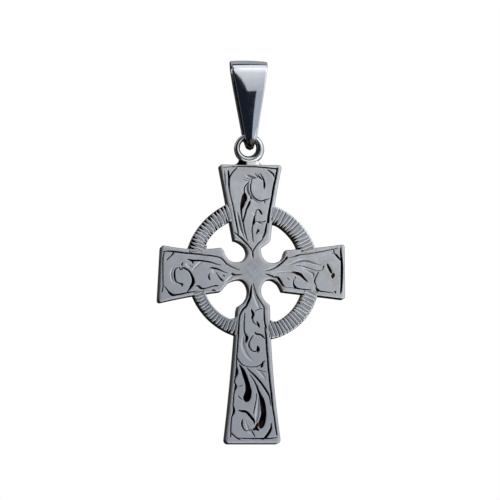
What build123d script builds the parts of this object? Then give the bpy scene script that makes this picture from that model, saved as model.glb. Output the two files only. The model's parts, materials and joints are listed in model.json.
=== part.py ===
from build123d import *
import math
import os
from collections import namedtuple

# Celtic cross pendant: an engraved silver cross with a nimbus and its soldered hanging
# ring, on a tapered strap bail. Millimetres, +Z up, and the front faces -Y. The origin
# is the inside top of the bail, where the chain lies.

# The flat of the cross
plate_thickness = 2.0
rim_rounding = 0.22
waist_half_across = 0.84
waist_half_up = 1.03
armpit_radius = 1.6
corner_rounding = 0.45

# Reach of the arms from the crossing, and their full widths
top_reach = 13.7
top_end_width = 8.05
top_root_width = 4.75
top_sag = 0.15
side_reach = 12.0
side_end_width = 7.15
side_root_width = 5.4
side_sag = 0.2
bottom_reach = 21.9
bottom_end_width = 7.15
bottom_root_width = 4.1
bottom_sag = 0.2

# The nimbus, the notched ring round the crossing, whose front lies all but flush with the arms'
nimbus_radius = 8.8
nimbus_width = 1.85
nimbus_thickness = 1.7
nimbus_setback = 0.06
notch_pitch = 0.44
notched_arc = 60
notch_depth = 0.3
notch_half_width = 0.17
notch_shallow = 0.25

# The hanging ring, soldered on the top edge
ring_radius = 1.45
ring_wire = 0.9
ring_gap = 0.1
foot_width = 3.3
foot_height = 0.5
foot_thickness = 1.1
foot_angle = 70

# The bail
bail_length = 10.27
bail_top_width = 4.9
bail_middle_width = 2.98
bail_tip_width = 1.15
bail_strap = 0.65
bail_inside_radius = 1.05
bail_edge_rounding = 0.2
eye_clearance = 0.36

# Engraving
cut_depth = 0.2

# Heights that follow: the pin line is the middle of the ring's top wire
eye_radius = ring_wire / 2 + eye_clearance
pin_height = -(bail_length - eye_radius)
ring_height = pin_height - ring_radius
top_edge_height = ring_height - ring_radius - ring_wire / 2 - ring_gap
crossing_height = top_edge_height - top_reach
bail_bottom = pin_height - eye_radius - bail_strap
nimbus_inner = nimbus_radius - nimbus_width
nimbus_middle = nimbus_radius - nimbus_width / 2
notch_count = round(math.radians(notched_arc) * nimbus_radius / notch_pitch) + 1

# Each arm: its direction, the direction across it, and its sizes. Its long sides are hollow
# by the sag, and its root stands on the line through two armpits' centres.
Arm = namedtuple("Arm", "along across reach half_end half_root waist sag")
top_arm = Arm(
    (0, 1), (1, 0), top_reach, top_end_width / 2, top_root_width / 2, waist_half_up, top_sag
)
right_arm = Arm(
    (1, 0), (0, 1), side_reach, side_end_width / 2, side_root_width / 2, waist_half_across, side_sag
)
left_arm = right_arm._replace(along=(-1, 0))
bottom_arm = Arm(
    (0, -1), (1, 0), bottom_reach, bottom_end_width / 2, bottom_root_width / 2, waist_half_up, bottom_sag
)

# The graver's cuts. Places along the arm are hundredths of its reach, places across are
# hundredths of its half width at the end, and a cut's width is in hundredths of that too.
# Each cut is a crescent that runs from its start through its middle to its end.
Cut = namedtuple("Cut", "start_along start_across mid_along mid_across end_along end_across width")
top_cuts = [
    Cut(96, -88, 97, 0, 96, 82, 4),
    Cut(95, 85, 66, 66, 34, 40, 7),
    Cut(94, -80, 85, -77, 78, -70, 9),
    Cut(80, -72, 58, -57, 40, -45, 5),
    Cut(96, 48, 93, 66, 88, 78, 6),
    Cut(96, -52, 91, -66, 84, -75, 4),
    Cut(92, 24, 86, 40, 79, 42, 10),
    Cut(88, -2, 74, 6, 67, 30, 5),
    Cut(67, 32, 66, 48, 67, 60, 4),
    Cut(73, -22, 66, -28, 55, -35, 20),
    Cut(62, -36, 48, -32, 37, -26, 5),
    Cut(66, -8, 57, -20, 44, -26, 9),
    Cut(58, 26, 56, 33, 53, 36, 7),
    Cut(54, 10, 48, 12, 41, 3, 10),
    Cut(47, 14, 46, 32, 47, 48, 4),
    Cut(36, -58, 31, -36, 23, -6, 6),
    Cut(33, 42, 29, 26, 23, 8, 5),
]
left_cuts = [
    Cut(97, 76, 96, 0, 97, -76, 5),
    Cut(95, 76, 70, 70, 38, 56, 7),
    Cut(36, 54, 31, 40, 16, 8, 6),
    Cut(88, -78, 74, -76, 58, -64, 8),
    Cut(71, 46, 56, 44, 38, 24, 9),
    Cut(78, 14, 66, -14, 71, -70, 13),
    Cut(76, 12, 86, -10, 77, -44, 6),
    Cut(44, 16, 38, 12, 32, 2, 9),
    Cut(60, -52, 52, -62, 40, -52, 9),
    Cut(38, -4, 34, -18, 31, -32, 5),
    Cut(23, -10, 19, -11, 15, -11, 6),
    Cut(93, 48, 90, 62, 84, 70, 5),
]
right_cuts = [
    Cut(97, 88, 98, 0, 96, -84, 8),
    Cut(88, 82, 66, 66, 42, 54, 5),
    Cut(92, 60, 89, 50, 93, 28, 6),
    Cut(40, 22, 62, 42, 80, 14, 6),
    Cut(46, 20, 62, 14, 70, 2, 4),
    Cut(82, 24, 85, 6, 86, -8, 13),
    Cut(30, -4, 50, 0, 59, -38, 14),
    Cut(70, 0, 66, -36, 74, -70, 5),
    Cut(72, -64, 82, -76, 92, -78, 6),
    Cut(44, -32, 45, -52, 52, -64, 9),
    Cut(44, -60, 58, -68, 70, -70, 5),
    Cut(38, 54, 32, 32, 22, 12, 6),
    Cut(16, -8, 29, -26, 35, -60, 8),
]
bottom_cuts = [
    Cut(8, -6, 16, -12, 24, -44, 9),
    Cut(24, -46, 40, -54, 50, -60, 6),
    Cut(50, -62, 74, -78, 97, -84, 5),
    Cut(8, 8, 16, 24, 23, 44, 4),
    Cut(24, 45, 42, 52, 60, 62, 5),
    Cut(61, 63, 80, 74, 97, 88, 5),
    Cut(98, -82, 99, 0, 98, 84, 5),
    Cut(24, -26, 32, -34, 36, -28, 4),
    Cut(37, -28, 39, -22, 42, -26, 12),
    Cut(23, -2, 25, 2, 28, -3, 12),
    Cut(28, -2, 31, 6, 32, 20, 8),
    Cut(36, 8, 36, 30, 40, 48, 8),
    Cut(38, -4, 44, -14, 46, 18, 6),
    Cut(51, -54, 56, 0, 52, 44, 4),
    Cut(55, -52, 64, -20, 73, -28, 26),
    Cut(57, -18, 66, 32, 78, 66, 6),
    Cut(64, 4, 78, 54, 92, 22, 18),
    Cut(60, -8, 74, 18, 84, 0, 4),
    Cut(81, -56, 82, -18, 88, 8, 10),
    Cut(87, -42, 91, -42, 93, -26, 6),
    Cut(87, 68, 92, 66, 97, 30, 10),
    Cut(56, -60, 59, -56, 62, -66, 10),
    Cut(66, -68, 68, -62, 70, -70, 8),
    Cut(80, -76, 82, -72, 84, -78, 8),
    Cut(94, -82, 96, -66, 98, -50, 5),
]


def on_arm(arm, along, across):
    """Place on the front of the cross, from the crossing: lengths along and across an arm."""
    return (
        along * arm.along[0] + across * arm.across[0],
        along * arm.along[1] + across * arm.across[1],
    )


def arm_outline(arm):
    """One flared arm from the crossing to its end, its two long sides slightly hollow."""
    root = arm.waist + armpit_radius
    middle = (root + arm.reach) / 2
    half_middle = (arm.half_root + arm.half_end) / 2 - arm.sag
    with BuildSketch() as outline:
        with BuildLine():
            Polyline(
                on_arm(arm, root, -arm.half_root),
                on_arm(arm, 0, -arm.half_root),
                on_arm(arm, 0, arm.half_root),
                on_arm(arm, root, arm.half_root),
            )
            for side in (-1, 1):
                ThreePointArc(
                    on_arm(arm, root, side * arm.half_root),
                    on_arm(arm, middle, side * half_middle),
                    on_arm(arm, arm.reach, side * arm.half_end),
                )
            Line(on_arm(arm, arm.reach, -arm.half_end), on_arm(arm, arm.reach, arm.half_end))
        make_face()
        ends = [
            vertex
            for vertex in outline.vertices()
            if abs(vertex.X * arm.along[0] + vertex.Y * arm.along[1] - arm.reach) < corner_rounding / 2
        ]
        fillet(ends, corner_rounding)
    return outline.sketch


def notch_section(depth):
    """Section of a V cut: a kite as deep below the surface as it stands above it."""
    width = notch_half_width * depth / notch_depth
    with BuildSketch() as section:
        with BuildLine():
            Polyline((-width, 0), (0, -depth), (width, 0), (0, depth), close=True)
        make_face()
    return section.sketch


def cut_outline(arm, cut):
    """One crescent of the graver: two arcs that part by the cut's width in the middle."""
    unit_along = arm.reach / 100
    unit_across = arm.half_end / 100
    start = Vector(*on_arm(arm, cut.start_along * unit_along, cut.start_across * unit_across))
    middle = Vector(*on_arm(arm, cut.mid_along * unit_along, cut.mid_across * unit_across))
    end = Vector(*on_arm(arm, cut.end_along * unit_along, cut.end_across * unit_across))
    aside = (end - start).normalized().rotate(Axis.Z, 90) * (cut.width * unit_across / 2)
    with BuildSketch() as outline:
        with BuildLine():
            ThreePointArc(start, middle + aside, end)
            ThreePointArc(start, middle - aside, end)
        make_face()
    return outline.sketch


middle_plane = Plane((0, 0, crossing_height), x_dir=(1, 0, 0), z_dir=(0, -1, 0))
front_plane = middle_plane.offset(plate_thickness / 2)
nimbus_plane = front_plane.offset(-nimbus_setback)
engraved_arms = (
    (top_arm, top_cuts),
    (right_arm, right_cuts),
    (left_arm, left_cuts),
    (bottom_arm, bottom_cuts),
)

# The notched nimbus: V cuts deep at both edges of the ring that thin out at its middle
with BuildPart() as notch:
    for radius, depth in (
        (nimbus_inner - notch_depth, notch_depth),
        (nimbus_middle, notch_depth * notch_shallow),
        (nimbus_radius + notch_depth, notch_depth),
    ):
        with BuildSketch(Plane.YZ.offset(radius)):
            add(notch_section(depth))
    loft(ruled=True)

with BuildPart() as nimbus:
    with BuildSketch(nimbus_plane):
        Circle(nimbus_radius)
        Circle(nimbus_inner, mode=Mode.SUBTRACT)
    extrude(amount=-nimbus_thickness)
    with Locations(nimbus_plane):
        for quadrant in range(4):
            start = 90 * quadrant + (90 - notched_arc) / 2
            with PolarLocations(0, notch_count, start, notched_arc, endpoint=True):
                add(notch.part, mode=Mode.SUBTRACT)

# The graver's work on the front
with BuildPart() as engraving:
    with BuildSketch(front_plane):
        for arm, cuts in engraved_arms:
            for cut in cuts:
                add(cut_outline(arm, cut))
    extrude(amount=cut_depth, both=True)

# The cross: four flared arms with rounded front edges, pierced in the armpits, the nimbus
# and the hanging ring all one piece of soldered silver
with BuildPart() as cross:
    with BuildSketch(middle_plane):
        for arm, cuts in engraved_arms:
            add(arm_outline(arm))
        with GridLocations(
            2 * (waist_half_across + armpit_radius), 2 * (waist_half_up + armpit_radius), 2, 2
        ):
            Circle(armpit_radius, mode=Mode.SUBTRACT)
    extrude(amount=plate_thickness / 2, both=True)
    rim = cross.faces().sort_by(Axis.Y)[0].outer_wire().edges()
    fillet(rim, rim_rounding)
    add(nimbus.part)
    add(engraving.part, mode=Mode.SUBTRACT)
    with BuildSketch(Plane.XZ):
        with Locations((0, top_edge_height)):
            Trapezoid(foot_width, 2 * foot_height, foot_angle)
    extrude(amount=foot_thickness / 2, both=True)
    with Locations((0, 0, ring_height)):
        Torus(ring_radius, ring_wire / 2, rotation=(90, 0, 0))
cross.part.label = "cross"

# The bail: a strap bent into a drop-shaped loop, cut to its tapered outline
with BuildPart() as bail:
    with BuildSketch(Plane.YZ):
        with Locations((0, -bail_inside_radius)):
            Circle(bail_inside_radius + bail_strap)
        with Locations((0, pin_height)):
            Circle(eye_radius + bail_strap)
        make_hull()
        with BuildSketch(mode=Mode.SUBTRACT):
            with Locations((0, -bail_inside_radius)):
                Circle(bail_inside_radius)
            with Locations((0, pin_height)):
                Circle(eye_radius)
            make_hull()
    extrude(amount=bail_top_width, both=True)
    with BuildSketch(Plane.XZ):
        with BuildLine():
            Line((-bail_top_width / 2, bail_strap), (bail_top_width / 2, bail_strap))
            Line((-bail_tip_width / 2, bail_bottom), (bail_tip_width / 2, bail_bottom))
            for side in (-1, 1):
                ThreePointArc(
                    (side * bail_top_width / 2, bail_strap),
                    (side * bail_middle_width / 2, (bail_strap + bail_bottom) / 2),
                    (side * bail_tip_width / 2, bail_bottom),
                )
        make_face()
    extrude(amount=bail_length, both=True, mode=Mode.INTERSECT)
    sides = bail.faces().filter_by(lambda face: abs(face.normal_at().X) > 0.9)
    strap_edges = ShapeList(edge for side in sides for edge in side.edges())
    fillet(strap_edges, bail_edge_rounding)
bail.part.label = "bail"

os.makedirs("parts", exist_ok=True)
export_step(cross.part, "parts/cross.step")
export_step(bail.part, "parts/bail.step")
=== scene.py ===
import bpy, bmesh, json, math
import numpy as np
from mathutils import Matrix, Vector


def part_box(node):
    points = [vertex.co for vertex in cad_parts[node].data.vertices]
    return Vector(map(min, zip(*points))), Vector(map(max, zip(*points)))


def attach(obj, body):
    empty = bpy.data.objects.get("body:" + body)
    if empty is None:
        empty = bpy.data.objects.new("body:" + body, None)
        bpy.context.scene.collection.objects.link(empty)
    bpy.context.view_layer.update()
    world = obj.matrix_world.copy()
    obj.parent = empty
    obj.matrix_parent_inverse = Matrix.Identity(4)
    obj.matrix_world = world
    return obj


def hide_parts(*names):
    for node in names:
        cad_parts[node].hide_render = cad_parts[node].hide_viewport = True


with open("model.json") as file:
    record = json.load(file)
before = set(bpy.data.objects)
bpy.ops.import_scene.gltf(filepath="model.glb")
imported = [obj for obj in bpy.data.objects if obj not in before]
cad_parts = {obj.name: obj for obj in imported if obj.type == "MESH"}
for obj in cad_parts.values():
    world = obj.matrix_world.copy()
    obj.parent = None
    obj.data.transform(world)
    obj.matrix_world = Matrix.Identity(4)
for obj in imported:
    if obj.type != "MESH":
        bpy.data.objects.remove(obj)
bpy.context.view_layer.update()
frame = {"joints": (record.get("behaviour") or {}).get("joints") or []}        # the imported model: bodies, nodes, joints and record
scene = bpy.context.scene
rng = np.random.default_rng(7)
mm = 0.001

# Sizes shared by the pieces in millimetres, with heights measured from the crossing. The grid's cell
# is one at which the filled back closes: smaller ones pass the limit of triangles.
# the scoop and edge darkening values in this table are painted shade
plate = dict(thickness=2.0, rim=0.38, rimDrop=0.12, backRim=0.15, cell=0.049, block=4, slope=1.35,
             deepest=0.2, inked=0.03, burr=8, scoopSlope=0.36, scoopDeepest=0.055, scoopShadeReach=0.14,
             scoopShadeStrength=0.55, edgeShadeReach=0.12, edgeShadeStrength=0.75)
# Each arm: its direction and the one across it, where its sides begin and end, its half width on the chart
# of cuts, its end corners, how far the end leans back, how far the chart is shifted along it and turned,
# and for each side its half widths at the root and the end and its hollow: minus is left or lower
arms = {
    "top": dict(along=(0, 1), across=(1, 0), root=2.63, reach=13.7, half=3.9, corners=(0.3, 0.5),
                lean=0.0, chart=(0, 0), minus=(2.02, 4.05, 0.01), plus=(2.3, 4.04, 0.2)),
    "right": dict(along=(1, 0), across=(0, 1), root=2.52, reach=12.0, half=3.425, corners=(0.35, 0.35),
                  lean=0.0, chart=(-0.05, 0.012), minus=(2.36, 3.47, 0.01), plus=(2.7, 3.6, 0.14)),
    "left": dict(along=(-1, 0), across=(0, 1), root=2.52, reach=12.0, half=3.425, corners=(0.4, 0.4),
                 lean=0.42, chart=(-0.2, -0.009), minus=(2.4, 4.07, 0.17), plus=(3.3, 3.45, 0.55)),
    "bottom": dict(along=(0, -1), across=(1, 0), root=2.63, reach=21.9, half=3.475, corners=(0.6, 0.6),
                   lean=0.0, chart=(0, 0), minus=(1.8, 3.66, 0.17), plus=(2.27, 3.58, 0.33)),
}
# The nimbus: four arcs of a rounded bar between the arms, cut across with V notches. It laps onto the
# arms' rims and sides and lies in a bed there, and further in it is sunk out of sight.
nimbus = dict(radius=8.8, width=1.85, thickness=1.7, setback=0.012, rounding=0.16, backEdge=0.15, start=13.0,
              end=77.0, pitch=0.51, pitchStray=0.035, slantStray=0.06, edgeCut=0.19, middleCut=0.07,
              depth=0.26, teeth=0.2, step=0.046, onRim=0.25, onSides=0.5, bed=0.14, bedMargin=0.15,
              sunk=0.4, sunkOver=0.03, solderReach=1.05, unevenEdge=(0.55, 1.15), unevenMiddle=(0.6, 1.2),
              fading=1.3)
# Hand-bent arcs: how far the outer and the inner edge stray at an arc's start, middle and end,
# how strongly each arc is filed at its outer and inner edge and how fast a notch narrows, and
# the solder that fills the inner corner at its start and end
strays = [((-0.05, 0.08, 0.15), (-0.3, -0.17, -0.05)), ((0.42, 0.05, -0.2), (0.0, -0.1, -0.2)),
          ((-0.65, -0.6, -0.42), (-0.45, -0.25, -0.33)), ((0.13, 0.33, 0.12), (0.05, 0.15, 0.0))]
filing = [(0.35, 1.3, 1.2), (1.3, 1.0, 1.1), (1.0, 1.3, 1.3), (0.6, 1.0, 1.8)]
fillets = [(0.1, 0.2), (0.0, 0.62), (0.0, 0.7), (0.65, 0.0)]
# the arc whose inner edge the file left standing, from this share of the half width inwards
uncut = dict(arc=2, edge=0.66, fade=5)
# The four sawn openings beside the waist, from horn to horn round the armpit: points (x, z) that
# a smooth curve runs through, and the corner outside the arms that closes each of them
outerCorner = (4.6, 5.2)
openings = [
    [(-3.94, 3.0), (-3.6, 2.65), (-3.4, 2.1), (-2.95, 1.5), (-2.35, 1.2), (-1.7, 1.22), (-1.15, 1.42),
     (-0.72, 1.9), (-0.6, 2.42), (-0.78, 3.03), (-1.2, 3.5), (-1.8, 3.87), (-2.2, 3.98)],
    [(2.57, 4.12), (2.06, 3.64), (1.64, 3.33), (1.23, 3.06), (1.19, 2.58), (1.37, 1.95), (1.75, 1.43),
     (2.26, 1.16), (2.83, 1.12), (3.3, 1.25), (3.72, 1.46), (4.07, 1.88), (4.23, 2.4), (4.41, 2.8)],
    [(4.02, -2.67), (3.8, -2.29), (3.5, -1.68), (3.1, -1.29), (2.59, -1.03), (1.97, -1.06), (1.56, -1.36),
     (1.27, -1.8), (1.18, -2.37), (1.24, -2.93), (1.46, -3.45), (1.76, -3.85), (2.15, -4.19), (2.43, -4.47)],
    [(-2.07, -5.4), (-1.9, -4.81), (-1.78, -4.43), (-1.44, -4.22), (-0.98, -3.84), (-0.6, -3.25), (-0.47, -2.58),
     (-0.56, -1.99), (-0.89, -1.39), (-1.38, -1.06), (-1.97, -1.07), (-2.75, -1.34), (-3.39, -1.85),
     (-4.0, -2.55), (-4.22, -2.7)],
]
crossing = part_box("cross")[0][2] / mm + arms["bottom"]["reach"]
topEdge = crossing + arms["top"]["reach"]
pinHeight = frame["joints"][0]["pos_m"][2] / mm
print("frame loaded, crossing at", round(crossing, 3), "and pin at", round(pinHeight, 3))

# The graver's cuts: each point is (along the arm %, across it % of its half end, width in 1/100 mm)
deepCuts = {}
deepCuts["top"] = [
    [(97, -95, 5), (98, -60, 8), (98.3, -20, 13), (98, 20, 14), (97, 60, 14), (96.3, 86, 15)],
    [(97, 87, 14), (93, 84, 19), (86, 79, 21), (80, 74, 22), (70, 68, 22), (60, 61, 22), (52, 56, 24),
     (47, 54.5, 26), (45.5, 53, 8)],
    [(46, 51, 8), (41, 47, 19), (36, 44, 20), (32.5, 38, 15), (30, 35, 5)],
    [(94, -76, 12), (90, -74.5, 20), (85, -74, 21), (80, -74, 16), (75, -72, 9), (68, -67, 9), (62, -62, 10),
     (56, -58, 11), (50, -54, 14), (44, -50, 14), (38, -46, 12), (35, -45, 6)],
    [(97, -48, 8), (94, -58, 11), (90, -68, 12), (86, -73, 9), (82, -75, 5)],
    [(95.5, 54, 6), (93.5, 64, 16), (91.5, 72, 17), (88.5, 76, 8)],
    [(36.5, -58, 6), (35, -50, 14), (31, -34, 17), (27, -20, 16), (23, -8, 13), (20, -1, 10), (18, 2, 6)],
    [(30, 36, 6), (28, 27, 10), (25, 17, 10), (21, 7, 10), (18, 2.5, 8)],
    [(19, 2, 8), (16, 3, 13), (13, 4, 6)],
    [(92, 28, 5), (90, 33, 8), (87, 39, 12), (84, 42, 17), (81, 43, 21), (79, 42.5, 17), (77.8, 42, 6)],
    [(91, 21, 4), (88.5, 27, 15), (87, 32, 13), (86, 36, 6)],
    [(92, 12, 3), (90, 17, 6), (88, 22, 6)],
    [(90.5, -10, 4), (89.5, -3, 9), (89, 4, 7), (88, 14, 4)],
    [(88, -22, 3), (87, -12, 6), (86, -2, 4)],
    [(86.5, -28, 3), (85.5, -18, 5), (85, -8, 3)],
    [(88, 4, 4), (84, 0, 7), (80, -3, 9), (76, -2.5, 10), (72, 2, 10), (69, 10, 12), (67, 20, 13), (66.2, 30, 13),
     (66.5, 40, 11), (67.5, 50, 9), (68.5, 58, 5)],
    [(68, 42, 4), (66, 42, 8), (64, 44, 3)],
    [(84, -8, 4), (82, -14, 9), (80, -20, 11), (78, -23, 11), (75, -24, 8), (72.5, -24, 8)],
    [(73, -22, 20), (71, -23, 50), (68, -24, 68), (65, -28, 55), (61.5, -31, 45), (58.5, -34, 24), (54, -34, 14),
     (50, -32, 12), (46, -29, 12), (42, -26, 11), (37, -23, 9), (33, -19, 8), (29, -15, 4)],
    [(66, -5, 10), (64, -7, 22), (61, -12, 20), (58, -17, 17), (54, -21, 15), (50, -25, 14), (46, -28, 11)],
    [(70, -3, 5), (68.5, -2, 15), (67.5, 0, 5)],
    [(43, 3, 6), (40, 1, 9), (36, 1.5, 9), (32, 3, 8), (28, 4, 4)],
    [(57, 12, 4), (58.2, 20, 8), (57.2, 26, 18), (55, 31, 19), (53.5, 33.5, 9)],
    [(54, 14, 5), (51, 9, 12), (48, 8, 24), (45.5, 6.5, 27), (43.5, 4, 12), (42, 2, 5)],
    [(47, 12, 8), (46.5, 22, 9), (46.5, 35, 9), (47.5, 47, 7)],
    [(46.3, 20, 4), (44.5, 34, 6)],
    [(39.5, 20, 12), (38, 21, 27), (36.8, 18, 14), (35, 14, 4)],
]
deepCuts["left"] = [
    [(97, 75, 6), (93, 77, 12), (88, 76, 17), (82, 74, 20), (76, 71, 18), (70, 69, 17), (64, 67, 17),
     (58, 65, 16), (52, 62, 15), (46, 60, 14), (42, 58, 14), (38, 55, 14), (35, 51, 14), (32, 42, 14),
     (29, 30, 13), (25, 21, 13), (21, 14, 12), (18, 9, 9), (15, 6, 4)],
    [(95, 76, 5), (96.5, 60, 9), (97, 30, 10), (97, 0, 9), (97, -30, 9), (97, -55, 8), (98, -75, 10)],
    [(93, 44, 5), (91, 50, 9), (88, 60, 10), (86, 68, 16), (85, 72, 8)],
    [(96, -54, 6), (94, -60, 8), (92, -70, 12), (90, -79, 24), (88, -84, 32), (86, -86, 27), (83, -85.5, 18),
     (78, -83, 16), (74, -80, 14), (70, -77, 12), (65, -74, 8), (60, -72, 4)],
    [(77, 11, 6), (75.5, 15, 15), (73, 12, 21), (70, 5, 18), (67.5, -5, 18), (65.5, -20, 26), (64.5, -33, 35),
     (65, -43, 36), (67, -55, 27), (69, -66, 17), (71, -74, 8)],
    [(80, 17, 5), (83, 12, 9), (84.5, 0, 15), (84.5, -15, 18), (84, -28, 14), (82.5, -38, 10), (80, -42, 12),
     (78, -44, 16), (76.5, -47, 23), (77, -54, 5)],
    [(79.5, 16, 5), (78.5, 10, 16), (77, 8, 6)],
    [(76, 34, 6), (76.5, 28, 16), (76.5, 22, 6)],
    [(71, 47, 4), (69, 46, 12), (67, 43, 22), (63, 41.5, 20), (59, 42, 18), (55, 40.5, 18), (50, 38, 17),
     (46, 35.5, 15), (42, 31, 12), (38, 27, 9), (35, 24, 4)],
    [(67, 44, 10), (65.5, 38, 17), (65, 30, 5)],
    [(48, 14, 4), (45.5, 15, 10), (43.5, 14, 20), (41, 12, 21), (38.5, 10, 18), (36, 6, 14), (33, 1, 10),
     (30, -3, 7), (28, -5, 3)],
    [(47, -5, 4), (48, -13, 8), (48, -20, 16), (47.5, -26, 14), (46.5, -30, 5)],
    [(39.5, -3, 4), (39, -10, 8), (37.5, -18, 9), (36, -25, 13), (34.5, -30, 21), (33.5, -33, 13),
     (32.5, -36, 5)],
    [(33, -13, 5), (32, -15, 13), (31, -18, 5)],
    [(23.5, -6, 12), (22, -10, 27), (21, -12, 20), (18, -12, 14), (15, -11, 10), (12.5, -11, 4)],
    [(63, -53, 4), (61, -52, 10), (59, -54, 20), (57, -60, 27), (55, -63, 18), (51, -61, 10), (47, -57, 9),
     (43, -53, 10), (40, -52, 15), (38, -51, 5)],
    [(45, -70, 8), (43, -69, 20), (41, -71, 8)],
]
deepCuts["right"] = [
    [(40, 52, 4), (45, 55, 7), (49.5, 60, 15), (52, 62, 10), (56, 64, 10), (62, 66, 9), (68, 69, 9), (74, 73, 10),
     (80, 77, 9), (86, 81, 8), (92, 86, 6)],
    [(96, 88, 10), (96, 70, 18), (96.5, 50, 22), (97, 30, 26), (97, 0, 28), (96.7, -30, 26), (96.3, -55, 22),
     (95.8, -75, 18), (95, -84, 6)],
    [(86, 68, 4), (88.5, 67, 9), (90.5, 62, 18), (92.5, 54, 22), (94.5, 46, 17), (95.5, 40, 8)],
    [(88, 80, 4), (88.5, 74, 9), (88.5, 70, 4)],
    [(35, -58, 6), (40, -60, 6), (44, -62, 8), (48, -64, 11), (52, -66, 12), (58, -68, 12), (63, -69, 7)],
    [(68.5, -60, 5), (69.5, -66, 20), (70.5, -70, 34), (72, -73, 22), (74, -75, 14), (78, -77, 12), (82, -79, 10),
     (87, -81, 6)],
    [(89, -74, 7), (89.5, -78, 16), (90, -82, 5)],
    [(77.5, 20, 8), (76.8, 14, 11), (76.2, 9, 4)],
    [(81, 27, 8), (82, 22, 22), (83, 13, 27), (84.5, 3, 30), (85.5, -5, 20), (86, -9, 6)],
    [(87.8, -8, 10), (87.6, -14, 34), (87, -20, 34), (86.5, -26, 8)],
    [(48, 22, 4), (54, 20, 7), (58, 16, 9), (62, 11, 9), (66, 6, 8), (70, 2, 7), (74, 4, 5), (77, 6, 3)],
    [(72, -2, 4), (71, -8, 8), (69.5, -18, 10), (68, -28, 12), (67.5, -38, 12), (68, -46, 9), (69, -54, 7),
     (69.5, -60, 6)],
    [(43, -3, 10), (46, -4, 24), (49, -8, 36), (52, -12, 36), (54, -18, 28), (56, -26, 22), (58, -33, 18),
     (59.5, -38, 7)],
    [(45, -30, 4), (44.8, -40, 7), (45, -50, 14), (46, -57, 25), (48, -62, 18), (51, -64, 9), (54, -66, 5)],
    [(47, -19, 4), (46.5, -24, 7), (46, -28, 3)],
    [(38, -24, 4), (39, -28, 6), (40, -31, 3)],
    [(14, -8, 4), (17, -11, 12), (20, -15, 16), (24, -21, 16), (26, -23, 8)],
    [(25.5, -18, 8), (28, -23, 26), (30, -33, 27), (32, -45, 25), (33.5, -52, 18), (35, -59, 6)],
    [(14, 2, 3), (19, 5, 7), (24, 11, 10), (28, 20, 16), (31, 28, 18), (34, 37, 18), (36, 44, 16), (37.5, 50, 25),
     (38.5, 55, 10)],
]
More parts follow.
